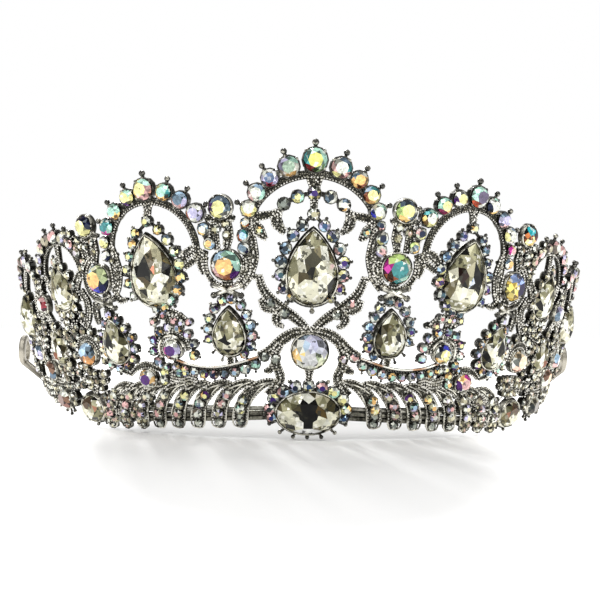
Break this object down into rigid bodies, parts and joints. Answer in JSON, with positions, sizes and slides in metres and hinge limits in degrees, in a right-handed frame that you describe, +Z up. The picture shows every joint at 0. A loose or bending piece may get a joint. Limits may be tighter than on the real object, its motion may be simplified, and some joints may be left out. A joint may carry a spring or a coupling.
{
  "type": "bridal crown",
  "caption": "Open-backed bridal crown: cast openwork crest of arches, scrolls and ribs set with pear, oval and round crystals, on a plain round bar with a loop at each end.",
  "frame": {"origin": "middle of the bounding box at the table the crown rests on", "axes": "+X across the crown to the wearer's left, which is the picture's right, +Y from the front to the open back, +Z up"},
  "size_m": [0.1692, 0.0948, 0.0692],
  "materials": {
    "antique_silver": "antiqued silver-tone plate over a grained casting, near black in the recesses",
    "bar_metal": "plain drawn bar, satin silver-tone plate, darkened",
    "champagne_crystal": "faceted, foil-backed, greyish champagne",
    "iridescent_crystal": "faceted, foil-backed, with a rainbow coating"
  },
  "bodies": {
    "root": {"base_bar": "bar_metal", "centre_crest": "antique_silver", "end_loop_left": "bar_metal", "end_loop_right": "bar_metal", "rib_band_left": "antique_silver", "rib_band_right": "antique_silver", "arch_crest_left": "antique_silver", "arch_crest_right": "antique_silver", "side_crest_left": "antique_silver", "side_crest_right": "antique_silver", "end_crest_left": "antique_silver", "end_crest_right": "antique_silver", "centre_pear": "champagne_crystal", "arch_pear_left": "champagne_crystal", "arch_pear_right": "champagne_crystal", "column_pear_left": "champagne_crystal", "column_pear_right": "champagne_crystal", "column_pear_2_left": "champagne_crystal", "column_pear_2_right": "champagne_crystal", "side_pear_left": "champagne_crystal", "side_pear_right": "champagne_crystal", "column_pear_3_left": "champagne_crystal", "column_pear_3_right": "champagne_crystal", "end_pear_left": "champagne_crystal", "end_pear_right": "champagne_crystal", "front_oval": "champagne_crystal", "side_oval_left": "champagne_crystal", "side_oval_right": "champagne_crystal", "centre_round": "iridescent_crystal", "top_round_left": "iridescent_crystal", "top_round_right": "iridescent_crystal", "top_round_2_left": "iridescent_crystal", "top_round_2_right": "iridescent_crystal", "column_round_left": "iridescent_crystal", "column_round_right": "iridescent_crystal", "column_round_2_left": "iridescent_crystal", "column_round_2_right": "iridescent_crystal", "column_round_3_left": "iridescent_crystal", "column_round_3_right": "iridescent_crystal", "curl_round_left": "iridescent_crystal", "curl_round_right": "iridescent_crystal", "curl_round_2_left": "iridescent_crystal", "curl_round_2_right": "iridescent_crystal", "curl_round_3_left": "iridescent_crystal", "curl_round_3_right": "iridescent_crystal", "low_round_left": "iridescent_crystal", "low_round_right": "iridescent_crystal", "foot_round_left": "iridescent_crystal", "foot_round_right": "iridescent_crystal", "base_round_left": "iridescent_crystal", "base_round_right": "iridescent_crystal", "centre_arch_stones": "iridescent_crystal", "second_arch_stones_left": "iridescent_crystal", "second_arch_stones_right": "iridescent_crystal", "third_arch_stones_left": "iridescent_crystal", "third_arch_stones_right": "iridescent_crystal", "fourth_arch_stones_left": "iridescent_crystal", "fourth_arch_stones_right": "iridescent_crystal"}
  },
  "joints": []
}
